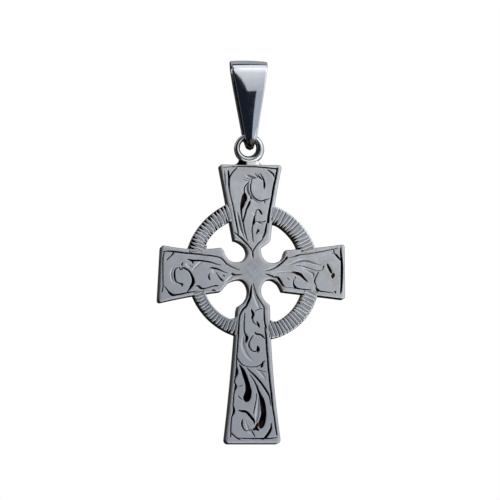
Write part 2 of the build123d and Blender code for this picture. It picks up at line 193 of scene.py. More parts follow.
deepCuts["bottom"] = [
    [(8, -3, 6), (10, -4, 18), (13, -6, 26), (15.5, -9, 26), (18, -16, 24), (20, -22, 20), (22, -34, 18),
     (24, -42, 16), (25.5, -46, 16), (28, -49, 14), (32, -51, 16), (36, -52, 14), (40, -54, 12), (44, -56, 12),
     (48, -58, 12), (51, -60, 11), (55.5, -61, 9)],
    [(55.5, -60, 10), (57.5, -59, 30), (59.5, -60, 32), (61, -63, 18), (63, -67, 10), (65, -68, 9)],
    [(65, -66, 8), (66.5, -63, 22), (68, -65, 24), (69.5, -68, 12), (72, -71, 9), (76, -73, 9), (78, -75, 9)],
    [(78, -74, 10), (80, -71, 22), (82, -72, 24), (83.5, -76, 14), (84.5, -79, 9), (88, -82, 9), (92, -83, 10),
     (96, -84, 9)],
    [(7, 3, 4), (9, 7, 7), (12, 12, 10), (15, 20, 13), (18, 32, 12), (20, 40, 10), (21, 43, 10), (24, 43.5, 14),
     (27, 44, 14), (30, 46, 15), (32, 49, 16), (33.5, 50, 6)],
    [(32.5, 45, 8), (36, 48, 16), (38, 50, 18), (45, 52, 18), (50, 55, 18), (55, 56.5, 18), (60, 60, 17),
     (65, 63, 18), (70, 67, 18), (75, 70, 16), (80, 73, 15), (85, 78, 14), (90, 82, 14), (95, 87, 10)],
    [(96.7, -56, 8), (96.9, -30, 10), (97, 0, 12), (97, 30, 14), (96.9, 60, 13), (96.4, 85, 6)],
    [(93, -84, 6), (94, -80, 12), (95.5, -70, 14), (97, -58, 14), (97.7, -50, 8)],
    [(88, 66, 5), (90.5, 66, 18), (92, 63, 26), (94, 56, 28), (96, 46, 26), (97, 38, 18), (97.5, 28, 5)],
    [(24, -28, 4), (27, -30, 8), (31, -31, 10), (34, -31, 11), (36, -29, 11)],
    [(35.5, -29, 8), (37, -25, 20), (38.5, -21, 32), (40, -23, 28), (41.5, -25, 10)],
    [(35.5, 9, 12), (36.3, 14, 20), (36.5, 22, 20), (36.8, 30, 18), (37.5, 36, 16), (38.5, 42, 14), (39, 46, 8)],
    [(37, 2, 4), (39, -6, 8), (41, -12, 10), (43, -14, 15), (44, -12, 14), (45.5, -6, 12), (46.3, 2, 12),
     (46.5, 10, 12), (46, 14, 10)],
    [(43.3, 18, 8), (45, 20, 36), (46, 20, 28), (47, 17, 6)],
    [(22, -4, 8), (23.5, 0, 26), (25, 3, 30), (26.5, 0, 22), (27.5, -3, 8)],
    [(27, 0, 8), (29, 2, 9), (30, 7, 9), (31, 14, 5)],
    [(23, 8, 4), (22.5, 14, 6), (22, 22, 7), (21.5, 30, 6), (21.5, 36, 4)],
    [(29, 16, 8), (30.5, 20, 24), (31.5, 23, 22), (32.5, 25, 6)],
    [(50, -59, 7), (52, -52, 10), (54, -40, 10), (55, -28, 8), (55.5, -10, 7), (55.3, 10, 8), (54.5, 26, 9),
     (53, 38, 10), (52, 44, 6)],
    [(52, 38, 6), (53.5, 36, 20), (55, 33, 24), (55.8, 30, 7)],
    [(57, 12, 3), (57.5, 28, 6), (58, 42, 6), (58.3, 50, 3)],
    [(54, -50, 5), (55, -46, 15), (57, -39, 34), (60, -31, 49), (65, -21, 53), (68, -18, 66), (70, -17, 80),
     (72, -20, 92), (73.5, -23, 88), (74.7, -25, 50), (75.5, -26, 10)],
    [(56, -22, 5), (58, -11, 14), (60, 3, 18), (62, 15, 20), (65, 31, 20), (68, 44, 20), (70, 52, 19),
     (72, 59, 15), (74, 62, 10), (78, 66, 5)],
    [(60, -12, 4), (63, 2, 9), (66, 12, 14), (69, 19, 20), (71.5, 25, 28), (74, 31, 50), (77, 35, 64),
     (80, 37.5, 66), (83, 38.5, 64), (86, 35, 76), (88.5, 30, 82), (90, 28, 50), (91, 26, 8)],
    [(88, 16, 10), (89.5, 13, 28), (91, 9, 32), (91.6, 3, 26), (91.8, -1, 8)],
    [(91, 10, 10), (91.8, 15, 28), (92, 20, 10)],
    [(71, 12, 4), (74, 12, 6), (77, 8, 7), (80, 4, 7), (82.5, 1, 5)],
    [(80.5, -54, 7), (81, -46, 22), (81.2, -36, 28), (81.5, -27, 28), (82.5, -19, 28), (84, -11, 28),
     (85.5, -3, 28), (86.5, 2, 24), (87.5, 4, 18), (88.5, 4, 6)],
    [(86, -40, 7), (88, -42, 16), (89.5, -41, 14), (91, -37, 12), (92.3, -30, 12), (92.5, -24, 8), (92, -14, 5),
     (91.5, -6, 5)],
    [(92, -6, 5), (93.5, -3, 10), (95, 3, 10), (96, 6, 4)],
    [(72, -56, 4), (73, -51, 9), (74, -45, 6), (74.5, -40, 3)],
    [(66.5, -60, 3), (66.5, -50, 6), (66, -40, 4)],
]
# Shallow scoops, where the flat of the graver shaded a leaf
shallowCuts = {}
shallowCuts["top"] = [
    [(92, -20, 10), (89, -8, 34), (87.5, 6, 36), (88, 16, 12)],
    [(83, -10, 10), (78, -14, 36), (73, -10, 40), (69, 2, 34), (65, 18, 28), (64, 32, 10)],
    [(56, -48, 10), (48, -42, 34), (40, -36, 34), (32, -26, 14)],
    [(94, -90, 12), (88, -88, 22), (80, -86, 10)],
    [(56, 4, 12), (55, 10, 30), (57, 18, 14)],
]
shallowCuts["left"] = [
    [(65, 6, 14), (63, 14, 28), (60, 24, 30), (57, 33, 26), (54, 37, 10)],
    [(30, -40, 14), (27, -30, 28), (24, -20, 26), (22, -14, 10)],
    [(72, 30, 14), (69, 22, 44), (66, 16, 20)],
    [(44, 4, 12), (42, -2, 34), (40, -4, 12)],
    [(86, 16, 10), (88, -6, 26), (87, -30, 20), (83, -46, 8)],
]
shallowCuts["right"] = [
    [(38, 22, 8), (42, 26, 20), (46, 32, 30), (50, 36, 38), (55, 39, 44), (60, 38, 46), (65, 33, 42),
     (70, 27, 34), (74, 22, 24), (77, 17, 10)],
    [(24, -5, 8), (30, -4, 18), (36, -3, 24), (42, -3, 26), (46, -5, 18)],
    [(56, 8, 10), (62, 0, 34), (66, -10, 30), (66, -24, 10)],
    [(14, 4, 8), (19, 8, 18), (24, 15, 16)],
]
shallowCuts["bottom"] = [
    [(10, 3, 10), (14, 8, 30), (18, 18, 36), (22, 28, 16)],
    [(38, -34, 12), (43, -36, 44), (49, -20, 40), (52, 0, 14)],
    [(73, 18, 10), (78, 18, 34), (84, 14, 40), (88, 10, 14)],
    [(56, 12, 10), (59, 30, 40), (62, 44, 20)],
    [(88, -26, 10), (93, -14, 34), (94, 0, 20)],
]


def armPoint(arm, along, across):
    # place on the front from lengths along and across an arm; a chart may be shifted and turned a little
    along, across = along + arm["chart"][0], across + arm["chart"][1] * along
    return (along * arm["along"][0] + across * arm["across"][0],
            along * arm["along"][1] + across * arm["across"][1])


def smoothRoute(points):
    # Catmull-Rom curve through the points, four steps a span
    p = np.array(points, float)
    q = np.vstack([2 * p[0] - p[1], p, 2 * p[-1] - p[-2]])
    t = np.linspace(0, 1, 4, endpoint=False)[:, None]
    spans = []
    for i in range(1, len(q) - 2):
        before, here, after, beyond = q[i - 1:i + 3]
        spans.append(0.5 * (2 * here + (after - before) * t + (2 * before - 5 * here + 4 * after - beyond) * t ** 2
                            + (3 * here - before - 3 * after + beyond) * t ** 3))
    return np.vstack(spans + [p[-1:]])


def throughThree(start, middle, end, share):
    # parabola through three readings, at shares of 0, a half and 1
    return (start * (1 - share) * (1 - 2 * share) + 4 * middle * share * (1 - share)
            + end * share * (2 * share - 1))


def nearestOn(gx, gz, dx, dz):
    # the share of each segment at which a point is nearest, and the distance there
    t = np.clip((gx * dx + gz * dz) / (dx * dx + dz * dz + 1e-12), 0, 1)
    return t, np.hypot(gx - dx * t, gz - dz * t)


def sideDistance(u, v, root, reach, halfRoot, halfEnd, sag):
    # distance past an arm's hollow side, which is a large circle through three points
    chord = np.array([reach - root, halfEnd - halfRoot])
    length = math.hypot(*chord)
    drop = sag * chord[0] / length
    radius = (length / 2) ** 2 / (2 * drop) + drop / 2
    middle = np.array([root + reach, halfRoot + halfEnd]) / 2
    centre = middle + np.array([-chord[1], chord[0]]) / length * (radius - drop)
    return np.where(u > root, radius - np.hypot(u - centre[0], v - centre[1]), v - halfRoot)


def openingDistance(x, z, route):
    # distance to a closed route, positive inside: the nearest segment, with the sign of the winding
    line = np.vstack([smoothRoute(route), np.sign(np.mean(route, axis=0)) * outerCorner])
    ax, az = line[:, 0], line[:, 1]
    dx, dz = np.roll(ax, -1) - ax, np.roll(az, -1) - az
    gx, gz = x[:, None] - ax, z[:, None] - az
    gap = nearestOn(gx, gz, dx, dz)[1].min(axis=1)
    crosses = ((gz < 0) != (gz < dz)) & (gx < dx * gz / np.where(dz == 0, 1e-12, dz))
    return np.where(crosses.sum(axis=1) % 2 == 1, gap, -gap)


def outlineDistance(x, z):
    # distance to the cross's outline, negative inside: each arm is bounded by its two sides
    # and its end, the arms are joined, and the four openings are taken away
    x, z = np.asarray(x, float), np.asarray(z, float)
    inside = np.full(x.shape, 1e3)
    for arm in arms.values():
        u = x * arm["along"][0] + z * arm["along"][1]
        v = x * arm["across"][0] + z * arm["across"][1]
        side = np.maximum(sideDistance(u, v, arm["root"], arm["reach"], *arm["plus"]),
                          sideDistance(u, -v, arm["root"], arm["reach"], *arm["minus"]))
        corner = np.where(v > 0, arm["corners"][1], arm["corners"][0])
        end = u - arm["reach"] + arm["lean"] * np.clip(0.5 + v / 2 / arm["half"], 0, 1)
        a, b = side + corner, end + corner
        rounded = np.where((a > 0) & (b > 0), np.hypot(a, b), np.maximum(a, b)) - corner
        inside = np.minimum(inside, np.where(u >= 0, rounded, 1e3))
    for route in openings:      # each is measured only near its own armpit
        towards = np.sign(np.mean(route, axis=0))
        px, pz = x * towards[0], z * towards[1]
        near = (px > -0.5) & (px < 6) & (pz > 0) & (pz < 6.5)
        inside[near] = np.maximum(inside[near], openingDistance(x[near], z[near], route))
    return inside


def outlineSlope(x, z):
    # unit direction in which the distance to the outline grows
    gx = outlineDistance(x + 0.01, z) - outlineDistance(x - 0.01, z)
    gz = outlineDistance(x, z + 0.01) - outlineDistance(x, z - 0.01)
    size = np.hypot(gx, gz) + 1e-9
    return gx / size, gz / size


def pulledTo(inset, x, z, steps):
    # places moved to this distance inside the outline by Newton steps along the slope
    for step in range(steps):
        gx, gz = outlineSlope(x, z)
        gap = outlineDistance(x, z) + inset
        x, z = x - gap * gx, z - gap * gz
    return x, z


def cutReach(x, z, cuts):
    # how far each point lies inside the widest cut there, negative outside: a cut is a chain of
    # tapered segments, and the reach is its half width, with the burr, less the distance to its line
    best, margin = np.full(x.shape, -1.0), 0.6      # the margin is more than half the widest cut
    for name, strokes in cuts.items():
        arm = arms[name]
        for stroke in strokes:
            line = smoothRoute(stroke)
            px, pz = armPoint(arm, line[:, 0] * arm["reach"] / 100, line[:, 1] * arm["half"] / 100)
            half = (line[:, 2] + plate["burr"]) / 200
            near = ((x > px.min() - margin) & (x < px.max() + margin)
                    & (z > pz.min() - margin) & (z < pz.max() + margin))
            t, gap = nearestOn(x[near][:, None] - px[:-1], z[near][:, None] - pz[:-1], np.diff(px), np.diff(pz))
            best[near] = np.maximum(best[near], (half[:-1] + np.diff(half) * t - gap).max(axis=1))
    return best


def nimbusCovers(x, z):
    # whether a place lies well under one of the arcs
    n, turn = nimbus, np.degrees(np.arctan2(z, x)) % 360
    share = np.clip((turn % 90 - n["start"]) / (n["end"] - n["start"]), 0, 1) * 1.2 - 0.1
    radius, covered = np.hypot(x, z), np.zeros(x.shape, bool)
    for quadrant, edges in enumerate(strays):
        outer, inner = (throughThree(*edge, share) for edge in edges)
        covered |= ((turn // 90 == quadrant) & (radius < n["radius"] + outer - n["bedMargin"])
                    & (radius > n["radius"] - n["width"] + inner + n["bedMargin"]))
    return covered


def nimbusLap(x, z):
    # how far the nimbus reaches onto an arm's front: on the side arms almost to the border line
    return np.where(np.abs(x) > np.abs(z), nimbus["onSides"], nimbus["onRim"])


def frontDepth(x, z):
    # depth below the flat front and how dark it is, from patina in the cuts and painted shade: the rim is a quarter
    # of an ellipse, with a bed where the nimbus lies on it, and the deep cuts are V grooves whose walls stop at a
    # floor; the scoops are shallow, with painted shade on the top and right arms only, and the very edge has
    # painted shade too
    inside = -outlineDistance(x, z)
    inner = np.clip(inside, 0, plate["rim"])
    rim = plate["rimDrop"] * (1 - np.sqrt(1 - (1 - inner / plate["rim"]) ** 2))
    rim = np.where((inside < nimbusLap(x, z)) & nimbusCovers(x, z), nimbus["bed"], rim)
    deep = cutReach(x, z, deepCuts)
    groove = np.clip(deep * plate["slope"], 0, plate["deepest"])
    scoop = np.clip(cutReach(x, z, shallowCuts) * plate["scoopSlope"], 0, plate["scoopDeepest"])
    # painted shade: the scoops on the top and right arms are darkened where they lie in shade, the others stay
    # light
    shadedCuts = {name: shallowCuts[name] for name in ("top", "right")}
    shaded = plate["scoopShadeStrength"] * np.clip(cutReach(x, z, shadedCuts) / plate["scoopShadeReach"], 0, 1)
    # painted shade: a dark band along the very edge, where the rounded rim turns away from the light
    edgeShade = plate["edgeShadeStrength"] * np.clip(1 - inside / plate["edgeShadeReach"], 0, 1)
    inked = np.clip(deep / plate["inked"], 0, 1)
    return rim + np.maximum(groove, scoop), np.maximum(inked, np.maximum(shaded, edgeShade))


def linkMesh(name, verts, batches, height, attributes=None):
    # a mesh object from millimetres at a height, smooth all over, with its point attributes:
    # each batch is an array of faces with the same number of corners
    mesh = bpy.data.meshes.new(name)
    faces = [face for batch in batches for face in batch.tolist()]
    mesh.from_pydata((verts.reshape(-1, 3) + (0, 0, height)) * mm, [], faces)
    mesh.polygons.foreach_set("use_smooth", np.ones(len(mesh.polygons), bool))
    for key, values in (attributes or {}).items():
        mesh.attributes.new(key, "FLOAT", "POINT").data.foreach_set("value", np.asarray(values, np.float32))
    piece = bpy.data.objects.new(name, mesh)
    scene.collection.objects.link(piece)
    return piece


def gridFaces(rows, columns, aroundRows=False, aroundColumns=False):
    # faces between neighbours on a grid, closed round either way where asked
    i = np.arange(rows if aroundRows else rows - 1)[:, None]
    j = np.arange(columns if aroundColumns else columns - 1)[None, :]
    nextI, nextJ = (i + 1) % rows, (j + 1) % columns
    return np.stack([i * columns + j, i * columns + nextJ, nextI * columns + nextJ, nextI * columns + j],
                    axis=-1).reshape(-1, 4)


def endFaces(rows, columns):
    # the two faces that close a grid's first and last row
    row = np.arange(columns)
    return np.stack([row[::-1], row + (rows - 1) * columns])


def rideCross(piece):
    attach(piece, "cross")
    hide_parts("cross")


def engravedPlate():
    # the front is a height field over a square grid cut to the outline: cells inside it are
    # kept, their border is pulled onto the outline, and plain blocks become one face each
    cell, block = plate["cell"], plate["block"]
    across, low, high = (math.ceil(arms[name]["reach"] / cell / block) * block
                         for name in ("right", "bottom", "top"))
    x, z = np.meshgrid(np.arange(-across, across + 1) * cell, np.arange(-low, high + 1) * cell)
    within = outlineDistance(x, z) < -0.1 * cell
    cells = within[:-1, :-1] & within[1:, :-1] & within[:-1, 1:] & within[1:, 1:]
    rows, columns = cells.shape
    padded = np.pad(cells, 1).astype(int)
    around = padded[:-1, :-1] + padded[1:, :-1] + padded[:-1, 1:] + padded[1:, 1:]
    used, border = around > 0, (around > 0) & (around < 4)
    x[border], z[border] = pulledTo(0, x[border], z[border], 3)
    depth, tarnishAndPaintedShade = np.zeros(x.shape), np.zeros(x.shape)
    depth[used], tarnishAndPaintedShade[used] = frontDepth(x[used], z[used])

    # a block is plain where it and the ring of points round it are all flat
    flat = np.pad(used & (depth < 1e-6), 1)
    calm = np.logical_and.reduce([flat[i:i + rows + 1, j:j + columns + 1] for i in range(3) for j in range(3)])
    plain = np.logical_and.reduce([calm[i:rows + i:block, j:columns + j:block]
                                   for i in range(block + 1) for j in range(block + 1)])
    index = np.arange(x.size).reshape(x.shape)
    i, j = np.nonzero(cells & ~np.kron(plain, np.ones((block, block), bool)))
    batches = [np.stack([index[i, j], index[i, j + 1], index[i + 1, j + 1], index[i + 1, j]], axis=1)]
    ring = np.pad(plain, 1)
    fineSides = np.stack([~ring[:-2, 1:-1], ~ring[1:-1, 2:], ~ring[2:, 1:-1], ~ring[1:-1, :-2]], axis=-1)
    corners, steps = [(0, 0), (0, block), (block, block), (block, 0)], [(0, 1), (1, 0), (0, -1), (-1, 0)]
    for kind in range(16):      # the ways in which a plain block's four sides meet fine cells
        sides = [bool(kind >> side & 1) for side in range(4)]
        i, j = np.nonzero(plain & (fineSides == sides).all(axis=-1))
        offsets = [(corner[0] + step[0] * k) * x.shape[1] + corner[1] + step[1] * k
                   for corner, step, fine in zip(corners, steps, sides) for k in range(block if fine else 1)]
        batches.append(index[i * block, j * block][:, None] + np.array(offsets))

    # the side and the rounded back edge follow the front's border edges, level by level
    upper, lower = np.pad(cells, ((0, 1), (0, 0))), np.pad(cells, ((1, 0), (0, 0)))
    right, left = np.pad(cells, ((0, 0), (0, 1))), np.pad(cells, ((0, 0), (1, 0)))
    edges = np.vstack([np.stack([start[bare], end[bare]], axis=1) for start, end, bare in (
        (index[:, :-1], index[:, 1:], upper & ~lower), (index[:, 1:], index[:, :-1], lower & ~upper),
        (index[:-1], index[1:], left & ~right), (index[1:], index[:-1], right & ~left))])
    rim = np.unique(edges)
    place = np.zeros(x.size, int)
    place[rim] = np.arange(len(rim))
    rimX, rimZ = x.reshape(-1)[rim], z.reshape(-1)[rim]
    gx, gz = outlineSlope(rimX, rimZ)
    back, rounding = plate["thickness"] / 2, plate["backRim"]
    layers, above = [np.stack([x, depth - back, z], axis=-1).reshape(-1, 3)], edges
    for level, turn in enumerate(np.radians([0, 45, 90])):
        inset = rounding * (1 - math.cos(turn))
        # at a corner the inset line would fold over itself, so it is pulled straight
        insetX, insetZ = pulledTo(inset, rimX - gx * inset, rimZ - gz * inset, 4 if inset else 0)
        insetY = np.full(len(rim), back - rounding * (1 - math.sin(turn)))
        layers.append(np.stack([insetX, insetY, insetZ], axis=1))
        below = x.size + level * len(rim) + place[edges]
        batches.append(np.stack([above[:, 1], above[:, 0], below[:, 0], below[:, 1]], axis=1))
        above = below
    # only the points that faces use are kept, and renumbered; the back itself is hardly a wall
    verts = np.vstack(layers)
    kept = np.unique(np.concatenate([batch.ravel() for batch in batches]))
    renumber = np.zeros(len(verts), int)
    renumber[kept] = np.arange(len(kept))
    # the darkening attribute carries the patina in the cuts and the painted shade on the scoops and along the very
    # edge
    piece = linkMesh("engravedCross", verts[kept], [renumber[batch] for batch in batches], crossing,
                     {"tarnishAndPaintedShade": np.append(tarnishAndPaintedShade.reshape(-1), np.zeros(3 * len(rim)))[kept],
                      "wall": np.append(np.zeros(x.size), np.repeat([1, 1, 0.2], len(rim)))[kept]})
    work = bmesh.new()
    work.from_mesh(piece.data)
    bmesh.ops.remove_doubles(work, verts=work.verts, dist=0.0005 * mm)
    openEdges = [edge for edge in work.edges if edge.is_boundary]
    for face in bmesh.ops.edgeloop_fill(work, edges=openEdges)["faces"]:
        face.smooth = False
        if face.normal.y < 0:       # the flat back
            face.normal_flip()
    work.to_mesh(piece.data)
    work.free()
    return piece


cross = engravedPlate()
rideCross(cross)
print("engraved cross:", len(cross.data.polygons), "faces")


def nimbusRing():
    # a rounded rectangle carried round each arc: its front drops by the nearest notch's V,
    # whose half width grows from the bar's middle to both edges
    n = nimbus
    half, edge = n["width"] / 2, n["rounding"]
    middle = n["radius"] - half
    front = n["setback"] - plate["thickness"] / 2
    back = front + n["thickness"]
    # the profile from the inner back edge over the front to the outer back edge, as offset and height
    turn = np.linspace(0, np.pi / 2, 8)[1:-1]
    flat = np.linspace(edge - half, half - edge, 31)
    inward = np.append([n["backEdge"] - half, -half, -half], edge - half - edge * np.cos(turn))
    rise = np.append([back, back - n["backEdge"], front + edge], front + edge - edge * np.sin(turn))
    offset = np.concatenate([inward, flat, -inward[::-1]])
    y = np.concatenate([rise, np.full(flat.size, front), rise[::-1]])
    fromMiddle = np.abs(offset) / half
    verts, batches, tarnishAndPaintedShade, wall = [], [], [], []
    count = 0
    for quadrant in range(4):
        span = np.radians([n["start"], n["end"]])
        rows = int((span[1] - span[0]) * n["radius"] / n["step"])
        angle = np.linspace(span[0], span[1], rows) + quadrant * np.pi / 2
        notches = np.arange(span[0] * n["radius"], span[1] * n["radius"], n["pitch"])
        notches = notches + rng.normal(0, n["pitchStray"], notches.size)
        slant = rng.normal(0.0, n["slantStray"], notches.size)
        innerCut, outerCut = rng.uniform(*n["unevenEdge"], (2, notches.size))
        centre = rng.uniform(*n["unevenMiddle"], notches.size)
        run = ((angle - quadrant * np.pi / 2) * n["radius"])[:, None]
        share = np.linspace(-0.1, 1.1, rows)[:, None]       # the strays were read over the open part
        outer, inner = (throughThree(*stray, share) for stray in strays[quadrant])
        edgeRadius = (middle - half + inner)[:, 0]
        toArm = outlineDistance(edgeRadius * np.cos(angle), edgeRadius * np.sin(angle))[:, None]
        inner = inner - np.where(share < 0.5, *fillets[quadrant]) * np.clip(1 - toArm / n["solderReach"], 0, 1) ** 2
        cut = np.zeros((rows, offset.size))
        reachOut, reachIn, narrowing = filing[quadrant]
        filed = np.clip((offset / half + uncut["edge"]) * uncut["fade"], 0, 1) if quadrant == uncut["arc"] else 1
        for k in range(notches.size):       # the deepest of the notches counts at each place
            gap = np.abs(run - notches[k] - slant[k] * offset / half)
            reach = np.where(offset < 0, innerCut[k] * reachIn, outerCut[k] * reachOut) * n["edgeCut"]
            width = np.maximum(reach * fromMiddle ** narrowing, centre[k] * n["middleCut"]) * filed
            cut = np.maximum(cut, np.clip(1 - gap / (width + 1e-6), 0, 1) * (width / n["edgeCut"]) ** n["fading"])
        ends = (y < front + edge + 0.01)        # the front and its two rounded edges
        sink = cut * n["depth"] * ends
        radius = (middle + (outer + inner) / 2 + offset * (1 + (outer - inner) / 2 / half)
                  - np.sign(offset) * sink * n["teeth"] * np.clip(fromMiddle * 4 - 3, 0, 1))
        x, z = radius * np.cos(angle[:, None]), radius * np.sin(angle[:, None])
        under = np.clip((-outlineDistance(x, z) - nimbusLap(x, z)) / n["sunkOver"], 0, 1) * (y < 0)
        verts.append(np.stack([x, y + sink + n["sunk"] * under, z], axis=-1).reshape(-1, 3))
        batches += [gridFaces(rows, offset.size, aroundColumns=True) + count, endFaces(rows, offset.size) + count]
        tarnishAndPaintedShade.append(np.clip(cut * 3, 0, 1).reshape(-1) * np.tile(ends, rows))
        wall.append(np.tile((y > front + edge * 0.9).astype(float), rows))
        count += rows * offset.size
    return linkMesh("notchedNimbus", np.vstack(verts), batches, crossing,
                    {"tarnishAndPaintedShade": np.concatenate(tarnishAndPaintedShade), "wall": np.concatenate(wall)})


nimbusPiece = nimbusRing()
rideCross(nimbusPiece)
print("notched nimbus:", len(nimbusPiece.data.polygons), "faces")

# The hanging ring, whose hole isn't quite in its middle, and the solder that holds it on the top arm
hanger = dict(radius=1.45, wire=0.9, outer=1.95, hole=1.05, outerShift=(-0.1, 0.14), holeShift=(-0.24, 0.26),
              around=160, through=40, footWidth=4.2, footTop=2.25, footThickness=1.1, topThickness=0.756,
              footHeight=1.15, footShift=-0.2, footSunk=0.12, footRows=24, footAround=96,
              flareBend=2.2, squareness=0.8)


def hangingRing():
    # a torus about Y between an outer circle and a hole that is shifted to one side, so that
    # its wire is thin on the left and stout on the right
    a = np.linspace(0, 2 * np.pi, hanger["around"], endpoint=False)[:, None]
    b = np.linspace(0, 2 * np.pi, hanger["through"], endpoint=False)[None, :]
    outer, hole = (np.stack([hanger[name] * np.cos(a) + hanger[name + "Shift"][0],
                             hanger[name] * np.sin(a) + hanger[name + "Shift"][1]]) for name in ("outer", "hole"))
    x, z = (outer + hole) / 2 + (outer - hole) / 2 * np.cos(b)
    y = hanger["wire"] / 2 * np.sin(b) + 0 * a
    return linkMesh("hangingRing", np.stack([x, y, z], axis=-1), [gridFaces(*x.shape, True, True)],
                    pinHeight - hanger["radius"])


def solderFoot():
    # stacked ellipses that flare from the ring's wire to the arm's end in a hollow curve
    t = np.linspace(0, 1, hanger["footRows"])[:, None]
    a = np.linspace(0, 2 * np.pi, hanger["footAround"], endpoint=False)[None, :]
    flare = (1 - t) ** hanger["flareBend"]
    halfX = (hanger["footTop"] + (hanger["footWidth"] - hanger["footTop"]) * flare) / 2
    halfY = (hanger["topThickness"] + (hanger["footThickness"] - hanger["topThickness"]) * flare) / 2
    lumps = 1 + 0.03 * np.sin(3 * a + 5 * t) + 0.02 * np.sin(5 * a - 3 * t)
    x = halfX * lumps * np.sign(np.cos(a)) * np.abs(np.cos(a)) ** hanger["squareness"] + hanger["footShift"]
    y = halfY * lumps * np.sign(np.sin(a)) * np.abs(np.sin(a)) ** hanger["squareness"]
    z = t * hanger["footHeight"] - hanger["footSunk"] + 0 * a
    return linkMesh("solderFoot", np.stack([x, y, z], axis=-1),
                    [gridFaces(*x.shape, aroundColumns=True), endFaces(*x.shape)], topEdge)


ringPiece, footPiece = hangingRing(), solderFoot()
rideCross(ringPiece)
rideCross(footPiece)

# The bail: a strap bent into a drop-shaped loop, slightly domed, tapered to its eye
bail = dict(topHalf=2.47, middleHalf=1.49, tipHalf=0.5, strap=0.65, arch=0.022, archFrom=-3.8, insideRadius=1.05,
            eyeRadius=0.81, rounding=0.2, dome=0.1, lean=0.008, topFall=0.014, topDrop=0.006, neck=0.1,
            neckFrom=0.05, neckOver=0.5, topSteps=120, eyeSteps=60, flankSteps=90, edgeSteps=7, faceSteps=31)


def bailStrap():
    # the loop is the hull of two circles, at the chain and at the eye; a domed rounded
    # section is carried along it, as wide at each point as the strap is at that height
    b = bail
    top, bottom = -b["insideRadius"], pinHeight
    outer, inner = b["insideRadius"] + b["strap"] / 2, b["eyeRadius"] + b["strap"] / 2
    lean = math.asin((outer - inner) / (top - bottom))
    bends = [(top, outer, -lean, math.pi + lean, b["topSteps"]),
             (bottom, inner, math.pi + lean, 2 * math.pi - lean, b["eyeSteps"])]
    centre, normal = [], []
    for height, radius, start, end, steps in bends:
        turn = np.linspace(start, end, steps)
        out = np.stack([np.cos(turn), np.sin(turn)], axis=1)
        centre.append(out * radius + (0, height))
        normal.append(out)
    # the straight flanks join the two bends
    share = np.linspace(0, 1, b["flankSteps"] + 2)[1:-1, None]
    flankA = centre[0][-1] * (1 - share) + centre[1][0] * share
    flankB = centre[1][-1] * (1 - share) + centre[0][0] * share
    path = np.vstack([centre[0], flankA, centre[1], flankB])
    out = np.vstack([normal[0], normal[0][-1] + 0 * flankA, normal[1], normal[0][0] + 0 * flankB])
    # section: across from -1 to 1 and through the strap, over its outer face and back under its inner one
    turn = np.linspace(0, np.pi / 2, b["edgeSteps"])
    half = b["strap"] / 2
    flat = np.linspace(-1, 1, b["faceSteps"] + 2)[1:-1]
    away, drop = b["rounding"] * (1 - np.cos(turn)), b["rounding"] * (1 - np.sin(turn))
    side = np.concatenate([np.full(turn.size, -1.0), flat, np.full(turn.size, 1.0)])
    inset = np.concatenate([away, np.full(flat.size, b["rounding"]), away[::-1]])
    through = half - np.concatenate([drop, np.zeros(flat.size), drop[::-1]])
    side, inset, through = np.append(side, side[::-1]), np.tile(inset, 2), np.append(through, -through)
    through = through - b["dome"] * (through > 0) * side ** 2 * (through / half)
    y = path[:, :1] + out[:, :1] * through
    z = path[:, 1:] + out[:, 1:] * through
    y = y * (1 - b["arch"] * np.clip(z - b["archFrom"], 0, None) ** 2)      # the flanks bow together at the top
    height = np.clip((z - pinHeight + b["eyeRadius"] + b["strap"])
                     / (b["strap"] * 2 + b["eyeRadius"] - pinHeight), 0, 1)
    width = throughThree(b["tipHalf"], b["middleHalf"], b["topHalf"], height)
    # it narrows into the eye
    width = width - b["neck"] * np.clip((pinHeight - b["neckFrom"] - z) / b["neckOver"], 0, 1)
    x = side * (width - inset)
    z = z - (b["topFall"] * x + b["topDrop"]) * np.clip(height * 4 - 3, 0, 1)       # cut by hand, not quite true
    x = x - b["lean"] * (z - pinHeight)
    verts = np.stack([x, y, z], axis=-1)[:, ::-1]       # the section runs so that faces point out
    return linkMesh("bailStrap", verts, [gridFaces(*x.shape, True, True)], 0)


bailPiece = bailStrap()
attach(bailPiece, "bail")
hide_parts("bail")
print("hanging ring, solder foot and bail made")


def linear(hexColour):
    # an sRGB hex colour as the linear colour that the sockets want
    parts = np.array([int(hexColour[i:i + 2], 16) for i in (1, 3, 5)]) / 255
    return (*np.where(parts <= 0.04045, parts / 12.92, ((parts + 0.055) / 1.055) ** 2.4), 1.0)


def addNode(tree, kind, inputs=None, **settings):
    # one shader node with its settings, and its inputs as plain values, hex colours or links
    node = tree.nodes.new(kind)
    for name, value in settings.items():
        setattr(node, name, value)
    for key, value in (inputs or {}).items():
        if isinstance(value, bpy.types.NodeSocket):
            tree.links.new(value, node.inputs[key])
        else:
            node.inputs[key].default_value = linear(value) if isinstance(value, str) else value
    return node


def newMaterial(name):
    material = bpy.data.materials.new(name)
    material.use_nodes = True
    tree = material.node_tree
    tree.nodes.clear()
    return material, tree, addNode(tree, "ShaderNodeTexCoord").outputs["Object"]


def coverWith(tree, looks):
    # the material's surface: a Principled shader with these inputs
    shader = addNode(tree, "ShaderNodeBsdfPrincipled", looks)
    addNode(tree, "ShaderNodeOutputMaterial", {"Surface": shader.outputs["BSDF"]})


def coverMetal(tree, colour, roughness, height, strength, distance):
    # metal with marks this many millimetres high
    bump = addNode(tree, "ShaderNodeBump", {"Height": height, "Strength": strength, "Distance": distance * mm})
    coverWith(tree, {"Base Color": colour, "Metallic": 1.0, "Roughness": roughness,
                     "Normal": bump.outputs["Normal"]})


